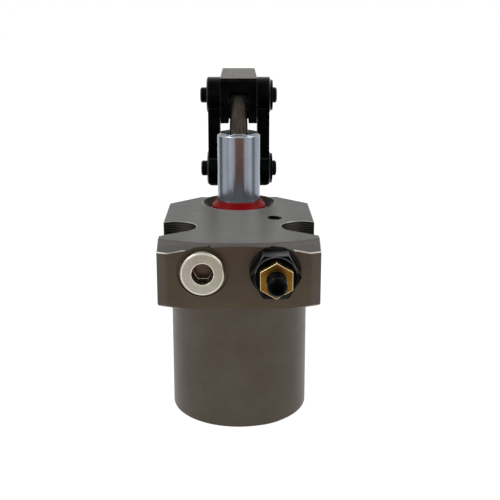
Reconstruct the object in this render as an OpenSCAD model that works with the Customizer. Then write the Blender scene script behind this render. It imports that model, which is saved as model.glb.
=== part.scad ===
// Hydraulic lever cylinder: a flanged cylinder whose rod tips a clamping lever over two links.
// Millimetres. The origin is on the rod's axis, at the underside of the flange block.
// +Z runs up the rod, the ports face -Y, and the lever's nose points to +Y.
// The lever is drawn level, as it is when it clamps.

/* [Flange block] */
// Width of the block, side to side
block_w = 52; // [48:0.5:64]
// Thickness of the block in front of the rod
block_t = 21.5; // [20:0.5:30]
// Distance from the rod's axis to the front face with the ports
front_reach = 59.6; // [56:0.2:70]
// Distance from the rod's axis to the rear edge of the lower deck
rear_reach = 36; // [35:0.5:42]
// Drop from the top of the block to the lower deck under the links
deck_drop = 9; // [6:0.5:11]
// Distance from the rod's axis to the rear edge of the upper deck
upper_deck_rear = 8.7; // [6:0.1:12]
// Size of the slanted cuts at the upper deck's rear corners
upper_deck_cut = 11.2; // [6:0.2:14]
// Size of the cuts at the lower deck's rear corners
lower_deck_cut = 7; // [2:0.5:8]
// Radius to which the front corners are turned
corner_turn_r = 63.7; // [62.5:0.1:64.5]
// Depth of the turned bevel round the top, measured inwards from the corner radius
top_bevel = 5.1; // [2:0.1:7]
// Depth of the turned bevel round the underside, measured inwards from the corner radius
under_bevel = 2.2; // [1:0.1:4]

/* [Barrel] */
// Outer diameter of the barrel
barrel_d = 52; // [50:0.5:60]
// Length of the barrel below the block
barrel_len = 58.5; // [57:0.5:80]
// Diameter of the cylinder bore
bore_d = 28; // [24:0.5:30]
// Thickness of the end wall between the cylinder bore and the block
head_wall = 3; // [2:0.5:6]
// Diameter of the bottom cap
cap_d = 34; // [32:0.5:36]
// Thickness of the bottom cap
cap_t = 11; // [8:0.5:14]
// Depth of the recess below the cap's retaining ring
cap_recess = 1.2; // [0.8:0.1:3]

/* [Bolt seats] */
// Width of the bolt slots
bolt_slot_w = 9; // [6.6:0.1:9.5]
// Width of the seats for the bolt heads in the front slots
bolt_head_d = 14.5; // [12:0.1:16]
// Distance of all four bolts from the block's sides
bolt_edge = 4.4; // [3.5:0.1:5.5]
// Distance of the front bolts in front of the rod's axis
front_bolt_y = 37.2; // [36:0.1:42]
// Distance of the rear bolts behind the rod's axis
rear_bolt_y = 24.8; // [24:0.1:27]
// Angle by which the slots slant away from the rod
slot_angle = 35; // [20:1:50]

/* [Ports] */
// Distance of both front ports from the block's sides
port_edge = 14.6; // [13.5:0.1:15.5]
// Depth of the front ports' axes below the top of the block
port_drop = 8.9; // [8.6:0.1:10]
// Diameter of the port threads
port_thread_d = 9.7; // [8:0.1:10]
// Depth of the threaded port holes
port_depth = 12; // [10.5:0.5:16]
// Depth of the spot faces
spot_depth = 0.6; // [0.3:0.1:1.2]
// Diameter of the drilled oil passages
passage_d = 4; // [2.5:0.1:4.5]
// Distance of the oil ports under the flange in front of the rod's axis
face_port_y = 38; // [36:0.5:42]
// Diameter of the oil holes under the flange
face_port_d = 3; // [2:0.1:4]
// Diameter of the seats for the sealing rings under the flange
face_seat_d = 11; // [9:0.1:12]
// Thickness of the sealing rings' cord under the flange
face_cord_d = 1.9; // [1.5:0.1:2.4]

/* [Slanted oil hole] */
// Distance of its mouth from the middle plane
slant_x = 12.3; // [11:0.1:14]
// Distance of its mouth in front of the rod's axis
slant_y = 25; // [24:0.1:27]
// Diameter of the hole
slant_d = 4.5; // [3.5:0.1:5]
// Tilt of the hole from the vertical, towards the rod
slant_tilt = 35; // [30:1:38]
// Depth of its sealing ball's centre along the hole
slant_ball_depth = 6.5; // [4:0.5:9]

/* [Piston rod] */
// Diameter of the rod
rod_d = 16; // [14:0.2:17]
// Height of the rod's shoulder above the block, with the lever level
rod_out = 26.7; // [24:0.1:32]
// Bevel at the rod's shoulder
rod_bevel = 1; // [0.4:0.1:1.5]
// Thickness of the rod's flat eye at its root
tongue_t = 6.7; // [5.5:0.1:7.5]
// Thickness of the rod's flat eye at its top
tongue_tip_t = 5.6; // [4.5:0.1:5.6]
// Radius of the rounded eye
tongue_r = 6.8; // [6:0.1:7]
// Height of the lever's pivot above the rod's shoulder
pivot_over_shoulder = 11.3; // [11.2:0.1:13]
// How far the rod retracts from this position
stroke = 17; // [12:0.5:17]
// How far the rod can still extend from this position
overtravel = 1; // [0.5:0.1:2]
// Length of the piston
piston_len = 20; // [16:0.5:22]

/* [Seals] */
// Diameter of the mouth of the wiper's recess
recess_d = 27.4; // [26:0.2:28]
// Depth of the recess
recess_depth = 2.2; // [1.5:0.1:3]
// Outer diameter of the wiper
wiper_d = 20.2; // [19:0.1:21]
// Height of the wiper's body
wiper_h = 4.6; // [3.5:0.1:5.5]
// Height of the wiper's lip above its body
wiper_lip = 1.6; // [1:0.1:2]
// Width of the ring grooves in the gland and on the piston
seal_w = 4.5; // [3:0.1:5]
// Width of the guide rings
guide_w = 5.6; // [4:0.1:6]
// Depth of the seal grooves
seal_depth = 3; // [2:0.1:3.2]
// Depth of the guide ring grooves
guide_depth = 1.6; // [1:0.1:2]

/* [Lever] */
// Width of the lever
lever_w = 13.4; // [12:0.2:13.6]
// Height of the lever's top above its pivot
lever_over_pivot = 9.1; // [9:0.1:11]
// Depth of the lever's underside below its pivot
lever_under_pivot = 7.4; // [6.5:0.1:7.6]
// Length of the tail in front of the pivot
lever_tail = 8; // [6.5:0.1:8.2]
// Distance from the pivot to the tip of the nose
lever_reach = 48; // [42:0.5:60]
// Height of the lever at its nose
nose_h = 10; // [8:0.5:12]
// Distance from the pivot to the link pin
lever_arm = 17; // [16.5:0.1:20]
// Height of the link pin above the lever's pivot
link_pin_rise = 0.7; // [0:0.1:1.5]
// Play round the link pin in the lever, each way
link_pin_play = 1.8; // [1.7:0.05:2]

/* [Links] */
// Thickness of each link
link_t = 4.7; // [4:0.1:6]
// Radius of the links' rounded ends
link_end_r = 7; // [6.2:0.1:7.5]
// Width of the links between their eyes
link_waist_w = 10.6; // [8:0.2:13]
// Height of the lower link pin above the block
lug_pin_h = 9.9; // [9:0.1:12]
// Height of the round pads on the links' outer faces
link_pad = 0.5; // [0.3:0.1:1]
// Diameter of the three pins
pin_d = 6; // [5:0.1:6.4]
// How far the link pins stand out of the links' pads
pin_out = 2.5; // [2:0.1:3.5]
// Outer diameter of the retaining clips
clip_d = 11.8; // [9.5:0.1:12]
// Thickness of the retaining clips
clip_t = 0.7; // [0.5:0.1:1]

/* [Port plug] */
// Diameter of the plug's head
plug_head_d = 14; // [12.5:0.1:14.6]
// Thickness of the plug's head
plug_head_t = 2.6; // [2:0.1:5]
// Size of the plug's hexagon socket across flats
plug_key_af = 6; // [5:0.5:7]
// Depth of the plug's hexagon socket
plug_key_depth = 5; // [4.5:0.1:6]
// Thickness of the plug's sealing washer
plug_seal_t = 1; // [0.6:0.1:1.5]
// Length of the plug's thread
plug_thread_len = 8.2; // [6:0.1:9]

/* [Flow valve] */
// Size of the valve body's hexagon across flats
valve_af = 14; // [12:0.5:14.5]
// How far the valve body stands in front of the block
valve_out = 7; // [5:0.5:10]
// Size of the lock nut across flats
lock_nut_af = 10; // [9:0.5:11]
// Thickness of the lock nut
lock_nut_t = 3.2; // [2.5:0.1:5]
// Diameter of the adjusting screw
adjuster_d = 6; // [5:0.5:6]
// How far the adjusting screw stands in front of the lock nut
adjuster_out = 6.8; // [4:0.1:9]
// Size of the adjusting screw's socket across flats
adjuster_key_af = 3; // [2:0.5:3]

/* [Hidden] */
$fn = 96;

// Clearances
fit = 0.03;         // radial play of a pin or screw that turns
seat_gap = 0.02;    // radial gap of a piece that is seated and stays
side_gap = 0.4;     // play between the lever and each link
slot_gap = 0.25;    // play at each side of the rod's eye in the fork
eye_gap = 0.3;      // play round the rod's eye in the fork
spot_gap = 0.12;    // play of the valve's hexagon in its spot face
rod_gap = 0.25;     // radial gap between the rod and the gland's steel
piston_gap = 0.1;   // radial gap between the piston and the bore
groove_gap = 0.1;   // play of a seal, guide ring or clip along its groove, each side
over = 1;           // how far a cutting tool runs past the face that it cuts

// Block
bolt_x = block_w / 2 - bolt_edge;
port_x = block_w / 2 - port_edge;
turned_bevel_angle = 30;
deck_z = block_t - deck_drop;
port_z = block_t - port_drop;
boss_wall = 0.8;                            // steel left round the mouth of the wiper's recess
boss_r = recess_d / 2 + boss_wall;

// Rod and linkage, all with the lever level
shoulder_z = block_t + rod_out;
pivot_z = shoulder_z + pivot_over_shoulder;
link_pin_y = lever_arm;
link_pin_z = pivot_z + link_pin_rise;
lug_pin_z = block_t + lug_pin_h;
lug_w = lever_w;
link_x = lever_w / 2 + side_gap;            // inner face of each link
link_out_x = link_x + link_t + link_pad;    // outer face of the links' pads
pin_r = pin_d / 2;
pin_groove_r = 0.8 * pin_r;                 // bottom of the clip's groove in a link pin
lever_tilt = 65;                            // the lever's turn as the rod retracts fully
lever_dip = 5;                              // room for its turn the other way, as the rod extends
lug_wall = 3.8;                             // steel round the lug's hole
lug_r = pin_r + lug_wall;
lug_root_h = 2.4;                           // height of the lug's front root above the block
lug_heel = 5;                               // how far the lug's rear root runs past its eye
lug_front_a = 200;                          // where the lug's front face leaves its eye
lug_rear_a = -10;                           // where its rear face leaves its eye

// Gland, from the underside of its end wall to the wiper
gland_z = -head_wall;
gland_lip = 3.5;                            // steel below the rod's guide ring
groove_land = 2.9;                          // steel between the two grooves in the gland
wiper_sink = 0.4;                           // depth of the wiper's body below the block's top
guide_z = gland_z + gland_lip;
rod_seal_z = guide_z + guide_w + groove_land;
wiper_z = block_t - wiper_sink - wiper_h;

// Piston and bottom cap
chamber_gap = 1.2;                          // space left past the piston at the end of its travel
piston_top = gland_z - overtravel - chamber_gap / 2;
piston_bottom = piston_top - piston_len;
piston_seal_from = 3;                       // from the piston's underside to its seal's groove
piston_land = 2;                            // steel between the piston's two grooves
ring_t = 1.5;
ring_groove = 1.2;                          // depth of the retaining ring's groove
ring_z = -barrel_len + cap_recess;
cap_z = ring_z + ring_t;
cap_top = min(cap_z + cap_t, piston_bottom - stroke - chamber_gap);
cap_h = cap_top - cap_z;
cap_cord_d = 1.88;
cap_groove_w = 2.6;
cap_rim = 6;                                // rim round the shallow relief under the cap

// Passages
slant_r = norm([slant_x, slant_y]);
slant_turn = atan2(-slant_y, slant_x);
slant_meet_y = slant_y * (1 - port_drop * tan(slant_tilt) / slant_r);
passage_wall = 0.6;                         // steel between the deep passage and the ring's groove
deep_passage_r = cap_d / 2 + ring_groove + passage_wall + passage_d / 2;
deep_passage_y = sqrt(deep_passage_r * deep_passage_r - port_x * port_x);
deep_plug_len = 6;
side_hole_d = passage_d - 0.5;              // hole from the deep passage into the bore
side_hole_z = cap_top + side_hole_d / 2 + 0.5;
spot_d = valve_af / cos(30) + 2 * spot_gap; // both ports' spot faces
valve_front = valve_out + spot_depth;       // from the spot face to the valve body's front
valve_thread_len = port_depth - spot_depth - 0.6;
valve_cord_d = 1.06;
needle_seat_d = 2.4;                        // hole that the valve's needle throttles
needle_seat_len = 4;

// A turned piece: the outline is given as radius and height.
module turned(points) {
    rotate_extrude() polygon(points);
}

// A flat ring between two radii.
module ring(r_in, r_out, h) {
    turned([[r_in, 0], [r_out, 0], [r_out, h], [r_in, h]]);
}

// An O-ring round the axis.
module cord_ring(r_mid, cord_d) {
    rotate_extrude() translate([r_mid, 0]) circle(d = cord_d, $fn = 32);
}

// A plate across the middle plane: its outline is given as Y and Z.
module plate(x_from, x_to) {
    translate([x_from, 0, 0]) rotate([90, 0, 90]) linear_extrude(x_to - x_from) children();
}

// A bore or pin that runs along X.
module across(y, z, r, x_from, x_to) {
    translate([x_from, y, z]) rotate([0, 90, 0]) cylinder(r = r, h = x_to - x_from);
}

// Places a piece at a front port: its own Z runs inwards from the block's front face.
module at_port(side) {
    translate([side * port_x, -front_reach, port_z]) rotate([-90, 0, 0]) children();
}

// Places a piece along the slanted oil hole: its own Z runs down the hole from its mouth.
module at_slant_hole() {
    rotate([0, 0, slant_turn]) translate([slant_r, 0, block_t]) rotate([0, 180 + slant_tilt, 0])
        children();
}

// A hexagon bar with turned bevels; bevel_back rounds the end at z = 0 as well.
module hex_bar(af, h, bevel_back = false) {
    corner_r = af / sqrt(3);
    face_r = 0.95 * af / 2;
    drop = (corner_r - face_r) * tan(30);
    intersection() {
        cylinder(r = corner_r, h = h, $fn = 6);
        turned([[0, 0], [bevel_back ? face_r : corner_r + over, 0],
            [corner_r + (bevel_back ? 0 : over), bevel_back ? drop : 0],
            [corner_r + (bevel_back ? 0 : over), h - drop - (bevel_back ? 0 : over * tan(30))],
            [face_r, h], [0, h]]);
    }
}

// Two round ends and the straight sides that touch both, as a plane outline.
module strap(p1, r1, p2, r2) {
    d = norm(p2 - p1);
    a = atan2(p2[1] - p1[1], p2[0] - p1[0]);
    t = acos((r1 - r2) / d);
    translate(p1) circle(r = r1);
    translate(p2) circle(r = r2);
    polygon([for (q = [[p1, r1, a + t], [p2, r2, a + t], [p2, r2, a - t], [p1, r1, a - t]])
        q[0] + q[1] * [cos(q[2]), sin(q[2])]]);
}

// Outline of the upper deck, seen from above.
module upper_deck_plan() {
    side_y = upper_deck_rear - upper_deck_cut;
    cut_x = block_w / 2 - upper_deck_cut;
    polygon([[-block_w / 2, -front_reach], [block_w / 2, -front_reach], [block_w / 2, side_y],
        [cut_x, upper_deck_rear], [-cut_x, upper_deck_rear], [-block_w / 2, side_y]]);
}

// Outline of the lower deck, seen from above.
module lower_deck_plan() {
    side_y = rear_reach - lower_deck_cut;
    cut_x = block_w / 2 - lower_deck_cut;
    polygon([[-block_w / 2, -front_bolt_y], [block_w / 2, -front_bolt_y], [block_w / 2, side_y],
        [cut_x, rear_reach], [-cut_x, rear_reach], [-block_w / 2, side_y]]);
}

// The block: a sawn outline whose front corners and rims are turned about the rod's axis.
module block_solid() {
    slope = tan(turned_bevel_angle);
    intersection() {
        union() {
            linear_extrude(block_t) upper_deck_plan();
            linear_extrude(deck_z) lower_deck_plan();
            cylinder(r = boss_r, h = block_t);
        }
        turned([[0, 0], [corner_turn_r - under_bevel, 0], [corner_turn_r, under_bevel * slope],
            [corner_turn_r, block_t - top_bevel * slope], [corner_turn_r - top_bevel, block_t],
            [0, block_t]]);
    }
}

// The single lug behind the rod, on which both links swing.
module lug_solid() {
    front_y = boss_r - boss_wall / 2;
    eye = [link_pin_y, lug_pin_z];
    plate(-lug_w / 2, lug_w / 2) {
        translate(eye) circle(r = lug_r);
        polygon([[front_y, deck_z - over], [front_y, block_t + lug_root_h],
            eye + lug_r * [cos(lug_front_a), sin(lug_front_a)], eye,
            eye + lug_r * [cos(lug_rear_a), sin(lug_rear_a)],
            [link_pin_y + lug_r + lug_heel, deck_z - over]]);
    }
}

// A slot from z_from upwards, with one round end, that runs out of the block's side at the angle a.
module corner_slot(side, y, a, w, z_from) {
    mirror([side < 0 ? 1 : 0, 0, 0]) translate([bolt_x, y, z_from]) rotate(a)
        linear_extrude(block_t + over - z_from) {
            circle(d = w);
            translate([0, -w / 2]) square([block_w / 2, w]);
        }
}

// Spot face, thread and drilled passage of one front port.
module port_cut(side, passage_to) {
    at_port(side) {
        translate([0, 0, -over]) cylinder(d = spot_d, h = spot_depth + over);
        cylinder(d = port_thread_d + 2 * seat_gap, h = port_depth);
        cylinder(d = passage_d, h = passage_to);
    }
}

// Oil port under the flange, with the seat for its sealing ring.
module face_port_cut(side) {
    translate([side * port_x, -face_port_y, -over]) {
        cylinder(d = face_port_d, h = port_z + over);
        cylinder(d = face_seat_d, h = 0.75 * face_cord_d + over);
    }
}

// Everything that is turned about the rod's axis: gland, cylinder bore and cap seat.
module bore_cut() {
    gland_r = rod_d / 2 + rod_gap;
    translate([0, 0, cap_top]) cylinder(d = bore_d, h = gland_z - cap_top);
    translate([0, 0, gland_z - over]) cylinder(r = gland_r, h = block_t + head_wall + 2 * over);
    translate([0, 0, guide_z]) cylinder(r = rod_d / 2 + guide_depth, h = guide_w);
    translate([0, 0, rod_seal_z]) cylinder(r = rod_d / 2 + seal_depth, h = seal_w);
    translate([0, 0, wiper_z]) cylinder(d = wiper_d + 2 * seat_gap, h = wiper_h + over);
    translate([0, 0, block_t - recess_depth])
        cylinder(d1 = wiper_d + 0.6, d2 = recess_d, h = recess_depth);
    translate([0, 0, block_t]) cylinder(d = recess_d, h = over);
    translate([0, 0, -barrel_len - over])
        cylinder(d = cap_d + 2 * seat_gap, h = cap_top + barrel_len + over);
    translate([0, 0, ring_z]) cylinder(d = cap_d + 2 * ring_groove, h = ring_t);
}

// One-piece steel body: block, barrel and lug.
module body() {
    color([0.33, 0.31, 0.29]) difference() {
        union() {
            block_solid();
            translate([0, 0, -barrel_len]) cylinder(d = barrel_d, h = barrel_len + over);
            lug_solid();
        }
        bore_cut();
        for (side = [-1, 1]) {
            corner_slot(side, -front_bolt_y, -slot_angle, bolt_slot_w, -over);
            corner_slot(side, -front_bolt_y, -slot_angle, bolt_head_d, deck_z);
            corner_slot(side, rear_bolt_y, slot_angle, bolt_slot_w, -over);
            face_port_cut(side);
        }
        port_cut(-1, front_reach - deep_passage_y);
        port_cut(1, front_reach - slant_meet_y);
        slant_hole_cut();
        deep_passage_cut();
        across(link_pin_y, lug_pin_z, pin_r + fit, -lug_w, lug_w);
    }
}

// The slanted oil hole from the block's top to the cylinder bore, with its countersunk mouth.
module slant_hole_cut() {
    above = slant_d / 2 * tan(slant_tilt) + over;
    at_slant_hole() {
        translate([0, 0, -above])
            cylinder(d = slant_d, h = above + (block_t + head_wall) / cos(slant_tilt));
        translate([0, 0, -above]) cylinder(d = slant_d + 0.8, h = above);
    }
}

// The passage from the left port down the barrel's wall to the foot of the bore.
module deep_passage_cut() {
    translate([-port_x, -deep_passage_y, -barrel_len - over])
        cylinder(d = passage_d, h = port_z + barrel_len + over);
    translate([-port_x, -deep_passage_y, side_hole_z])
        rotate([0, 0, atan2(deep_passage_y, port_x)]) rotate([0, 90, 0])
            cylinder(d = side_hole_d, h = norm([port_x, deep_passage_y]) - bore_d / 2 + over);
}

// Bottom cap with the groove for its O-ring and a shallow relief underneath.
module bottom_cap() {
    relief_depth = 2;
    color([0.36, 0.34, 0.32]) translate([0, 0, cap_z]) difference() {
        cylinder(d = cap_d, h = cap_h);
        translate([0, 0, (cap_h - cap_groove_w) / 2])
            ring(cap_d / 2 - cap_cord_d - seat_gap, cap_d / 2 + over, cap_groove_w);
        translate([0, 0, -over]) cylinder(d = cap_d - 2 * cap_rim, h = relief_depth + over);
    }
}

module cap_o_ring() {
    color([0.06, 0.06, 0.06]) translate([0, 0, cap_z + cap_h / 2])
        cord_ring(cap_d / 2 - cap_cord_d / 2 - seat_gap / 2, cap_cord_d);
}

// Inner retaining ring: an open spring ring in the barrel's groove.
module cap_retaining_ring() {
    mouth = 6;
    color([0.16, 0.16, 0.17]) translate([0, 0, ring_z + seat_gap]) difference() {
        ring(cap_d / 2 - 2.6, cap_d / 2 + ring_groove - 0.05, ring_t - 2 * seat_gap);
        translate([-mouth / 2, 0, -over]) cube([mouth, cap_d, ring_t + 2 * over]);
    }
}

// Wiper: a body in the recess, and a lip that scrapes the rod.
module wiper_ring() {
    r_in = rod_d / 2 + fit;
    r_out = wiper_d / 2;
    color([0.62, 0.03, 0.05]) translate([0, 0, wiper_z]) turned([[r_in, 0.6], [r_in + 0.5, 0],
        [r_out, 0], [r_out, wiper_h - 0.5], [r_out - 0.4, wiper_h], [r_in + 1.1, wiper_h + 0.1],
        [r_in + 0.5, wiper_h + wiper_lip], [r_in, wiper_h + wiper_lip]]);
}

// Rod seal: a cup with its lips towards the pressure.
module rod_seal() {
    r_in = rod_d / 2 + fit;
    r_out = rod_d / 2 + seal_depth - seat_gap;
    mid = (r_in + r_out) / 2;
    lip = 0.6;
    h = seal_w - 2 * groove_gap;
    color([0.1, 0.16, 0.12]) translate([0, 0, rod_seal_z + groove_gap])
        turned([[r_in, 0], [r_in + lip, 0], [mid, 0.42 * h], [r_out - lip, 0], [r_out, 0],
            [r_out, h], [r_in, h]]);
}

module rod_guide_ring() {
    color([0.45, 0.3, 0.16]) translate([0, 0, guide_z + groove_gap])
        ring(rod_d / 2 + fit, rod_d / 2 + guide_depth - seat_gap, guide_w - 2 * groove_gap);
}

// Hexagon socket plug of the left port: head, thread and key socket.
module port_plug() {
    head_r = plug_head_d / 2;
    thread_r = port_thread_d / 2;
    key_r = plug_key_af / sqrt(3);
    neck = 0.7;                             // depth of the undercut below the head
    thread_end = plug_head_t + plug_seal_t + plug_thread_len;
    color([0.68, 0.66, 0.6]) at_port(-1)
        translate([0, 0, spot_depth - plug_seal_t - plug_head_t]) difference() {
            turned([[0, 0], [head_r - 0.5, 0], [head_r, 0.4], [head_r, plug_head_t],
                [thread_r - neck, plug_head_t], [thread_r - neck, plug_head_t + plug_seal_t],
                [thread_r, plug_head_t + plug_seal_t + neck], [thread_r, thread_end - neck],
                [thread_r - neck, thread_end], [0, thread_end]]);
            translate([0, 0, -over]) cylinder(r = key_r, h = plug_key_depth + over, $fn = 6);
            turned([[0, -over], [key_r + over, -over], [key_r, 0.1], [key_r - 0.6, 0.9], [0, 0.9]]);
        }
}

module plug_seal() {
    color([0.5, 0.36, 0.22]) at_port(-1) translate([0, 0, spot_depth - plug_seal_t])
        ring(port_thread_d / 2 + seat_gap, plug_head_d / 2 - 0.4, plug_seal_t);
}

// Flow valve's body: hexagon, thread, metering seat and bore for the adjuster.
module valve_body() {
    thread_r = port_thread_d / 2;
    groove_depth = valve_cord_d + 2 * seat_gap;
    color([0.05, 0.05, 0.055]) at_port(1) translate([0, 0, spot_depth]) difference() {
        union() {
            mirror([0, 0, 1]) hex_bar(valve_af, valve_front);
            turned([[0, -over], [thread_r, -over], [thread_r, valve_thread_len - 0.8],
                [thread_r - 0.8, valve_thread_len], [0, valve_thread_len]]);
        }
        translate([0, 0, -valve_front - over]) cylinder(r = adjuster_d / 2 + fit,
            h = valve_front + over + valve_thread_len - needle_seat_len);
        translate([0, 0, valve_thread_len - needle_seat_len - over])
            cylinder(d = needle_seat_d, h = needle_seat_len + 2 * over);
        translate([0, 0, -groove_depth])
            ring(thread_r, thread_r + 1.6 * valve_cord_d, groove_depth + over);
    }
}

module valve_o_ring() {
    color([0.06, 0.06, 0.06]) at_port(1) translate([0, 0, spot_depth - valve_cord_d / 2 - seat_gap])
        cord_ring(port_thread_d / 2 + 0.8 * valve_cord_d, valve_cord_d);
}

// Thin lock nut on the adjusting screw, with a corner upwards.
module valve_lock_nut() {
    color([0.74, 0.58, 0.3]) at_port(1) translate([0, 0, -valve_out]) rotate([0, 0, 30])
        mirror([0, 0, 1]) difference() {
            hex_bar(lock_nut_af, lock_nut_t);
            translate([0, 0, -over]) cylinder(r = adjuster_d / 2 + fit, h = lock_nut_t + 2 * over);
        }
}

// Adjusting screw with a needle at its inner end and a key socket at its outer end.
module valve_adjuster() {
    r = adjuster_d / 2;
    key_r = adjuster_key_af / sqrt(3);
    front = valve_out + lock_nut_t + adjuster_out;
    bore_end = front + spot_depth + valve_thread_len - needle_seat_len;
    needle_len = 1.8;
    color([0.05, 0.055, 0.06]) at_port(1) translate([0, 0, -front]) difference() {
        turned([[0, 0], [r - 0.8, 0], [r, 1], [r, bore_end - needle_len],
            [needle_seat_d / 3, bore_end], [0, bore_end + 0.4]]);
        translate([0, 0, -over]) cylinder(r = key_r, h = adjuster_key_af + over, $fn = 6);
        turned([[0, -over], [key_r + over, -over], [key_r, 0.1], [0, 1.6]]);
    }
}

// Steel ball pressed into the slanted oil hole.
module passage_ball() {
    color([0.5, 0.5, 0.5]) at_slant_hole() translate([0, 0, slant_ball_depth])
        sphere(r = slant_d / 2 - seat_gap);
}

// Plug at the foot of the passage in the barrel's wall, flush with its end.
module passage_plug() {
    color([0.4, 0.38, 0.36]) translate([-port_x, -deep_passage_y, -barrel_len])
        cylinder(r = passage_d / 2 - seat_gap, h = deep_plug_len);
}

// The two sealing rings round the oil ports under the flange, a quarter of their cord standing out.
module face_o_rings() {
    color([0.06, 0.06, 0.06]) for (side = [-1, 1])
        translate([side * port_x, -face_port_y, 0.25 * face_cord_d - seat_gap])
            cord_ring(face_seat_d / 2 - face_cord_d / 2 - seat_gap, face_cord_d);
}

// Side outline of the rod's eye, from inside the shoulder to its rounded top.
module tongue_side() {
    translate([0, pivot_z]) circle(r = tongue_r);
    translate([-tongue_r, shoulder_z - over]) square([2 * tongue_r, pivot_over_shoulder + over]);
}

// Rod, piston and eye, turned from one bar; the eye is milled flat and tapers upwards.
module piston_rod() {
    r = rod_d / 2;
    piston_r = bore_d / 2 - piston_gap;
    color([0.72, 0.73, 0.75]) difference() {
        union() {
            turned([[0, piston_bottom], [piston_r - 1, piston_bottom], [piston_r, piston_bottom + 1],
                [piston_r, piston_top - 0.8], [piston_r - 0.8, piston_top], [r, piston_top],
                [r, shoulder_z - rod_bevel], [r - rod_bevel, shoulder_z], [0, shoulder_z]]);
            intersection() {
                plate(-tongue_t, tongue_t) tongue_side();
                rotate([90, 0, 0]) translate([0, 0, -r]) linear_extrude(2 * r)
                    polygon([[-tongue_t / 2, shoulder_z - over], [tongue_t / 2, shoulder_z - over],
                        [tongue_t / 2, shoulder_z], [tongue_tip_t / 2, pivot_z + tongue_r],
                        [-tongue_tip_t / 2, pivot_z + tongue_r], [-tongue_t / 2, shoulder_z]]);
            }
        }
        translate([0, 0, piston_bottom + piston_seal_from])
            ring(bore_d / 2 - seal_depth, bore_d, seal_w);
        translate([0, 0, piston_bottom + piston_seal_from + seal_w + piston_land])
            ring(bore_d / 2 - guide_depth, bore_d, guide_w);
        across(0, pivot_z, pin_r + fit, -rod_d, rod_d);
    }
}

module piston_seal() {
    color([0.1, 0.16, 0.12]) translate([0, 0, piston_bottom + piston_seal_from + groove_gap])
        ring(bore_d / 2 - seal_depth + seat_gap, bore_d / 2 - fit, seal_w - 2 * groove_gap);
}

module piston_guide_ring() {
    guide_from = piston_bottom + piston_seal_from + seal_w + piston_land;
    color([0.45, 0.3, 0.16]) translate([0, 0, guide_from + groove_gap])
        ring(bore_d / 2 - guide_depth + seat_gap, bore_d / 2 - fit, guide_w - 2 * groove_gap);
}

// Side outline of the lever: level top, straight underside, and a nose that rises to its pad.
module lever_side() {
    top = pivot_z + lever_over_pivot;
    bottom = pivot_z - lever_under_pivot;
    heel_y = lever_arm + 6;                 // where the underside starts to rise
    nose_z = top - nose_h;
    pad_y = lever_reach - 9.5;
    pad = 1.4;                              // how far the pad stands out below the nose
    bevel = 2.2;
    polygon([[-lever_tail, top - 1], [-lever_tail + 1, top], [lever_reach - 3, top],
        [lever_reach, top - 4], [lever_reach, nose_z], [lever_reach - pad, nose_z - pad],
        [pad_y + pad, nose_z - pad], [pad_y, nose_z], [pad_y - bevel, nose_z], [heel_y, bottom],
        [-lever_tail + bevel, bottom], [-lever_tail, bottom + bevel]]);
}

// The room in the fork for the rod's eye, open below and at the tail for the full tilt.
module fork_side() {
    r = tongue_r + eye_gap;
    far = lever_tail + rod_d;
    rise_from = r * [-cos(lever_tilt), sin(lever_tilt)];
    rise_to = rise_from - far * [sin(lever_tilt), cos(lever_tilt)];
    dip_from = r * [cos(lever_dip), sin(lever_dip)];
    dip_to = dip_from + far * [sin(lever_dip), -cos(lever_dip)];
    translate([0, pivot_z]) {
        circle(r = r);
        polygon([[0, 0], rise_from, rise_to, [rise_to[0], -far], dip_to, dip_from]);
    }
}

// Forked clamping lever.
module lever() {
    slot_x = tongue_t / 2 + slot_gap;
    color([0.1, 0.1, 0.1]) difference() {
        plate(-lever_w / 2, lever_w / 2) lever_side();
        plate(-slot_x, slot_x) fork_side();
        across(0, pivot_z, pin_r + seat_gap, -lever_w, lever_w);
        across(link_pin_y, link_pin_z, pin_r + link_pin_play, -lever_w, lever_w);
    }
}

// Pin that carries the lever on the rod's eye, flush with the lever's cheeks.
module lever_pin() {
    half = lever_w / 2 - 0.1;
    color([0.2, 0.2, 0.21]) across(0, pivot_z, pin_r, -half, half);
}

// One link: two eyes, a narrower waist, round pads outside and a bevelled lower end.
module link(side) {
    upper = [link_pin_y, link_pin_z];
    lower = [link_pin_y, lug_pin_z];
    out = link_x + link_t;
    pad_r = link_end_r - 0.1;
    bevel = 2.4 / sqrt(2);                  // bevel under the lower end's outer face
    color([0.06, 0.06, 0.065]) mirror([side < 0 ? 1 : 0, 0, 0]) difference() {
        union() {
            plate(link_x, out) {
                translate(upper) circle(r = link_end_r);
                translate(lower) circle(r = link_end_r);
                strap(upper, link_waist_w / 2, lower, link_waist_w / 2);
            }
            for (p = [upper, lower])
                translate([out - over, p[0], p[1]]) rotate([0, 90, 0])
                    turned([[0, 0], [pad_r, 0], [pad_r, over],
                        [pad_r - link_pad, over + link_pad], [0, over + link_pad]]);
        }
        for (p = [upper, lower])
            across(p[0], p[1], pin_r + seat_gap, link_x - over, link_out_x + over);
        translate([link_out_x, link_pin_y, lug_pin_z - link_end_r]) rotate([0, 45, 0])
            cube([bevel * sqrt(2), 3 * link_end_r, bevel * sqrt(2)], center = true);
    }
}

module link_left() { link(-1); }

module link_right() { link(1); }

// Link pin: held by the left link, with a clip in its groove outside the right link.
module link_pin(z) {
    end_x = link_out_x + pin_out;
    bevel = 0.5;
    color([0.07, 0.07, 0.075]) translate([-end_x, link_pin_y, z]) rotate([0, 90, 0]) difference() {
        turned([[0, 0], [pin_r - bevel, 0], [pin_r, bevel], [pin_r, 2 * end_x - bevel],
            [pin_r - bevel, 2 * end_x], [0, 2 * end_x]]);
        translate([0, 0, end_x + link_out_x + groove_gap])
            ring(pin_groove_r, pin_r + over, clip_t + groove_gap);
    }
}

module link_pin_upper() { link_pin(link_pin_z); }

module link_pin_lower() { link_pin(lug_pin_z); }

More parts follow.
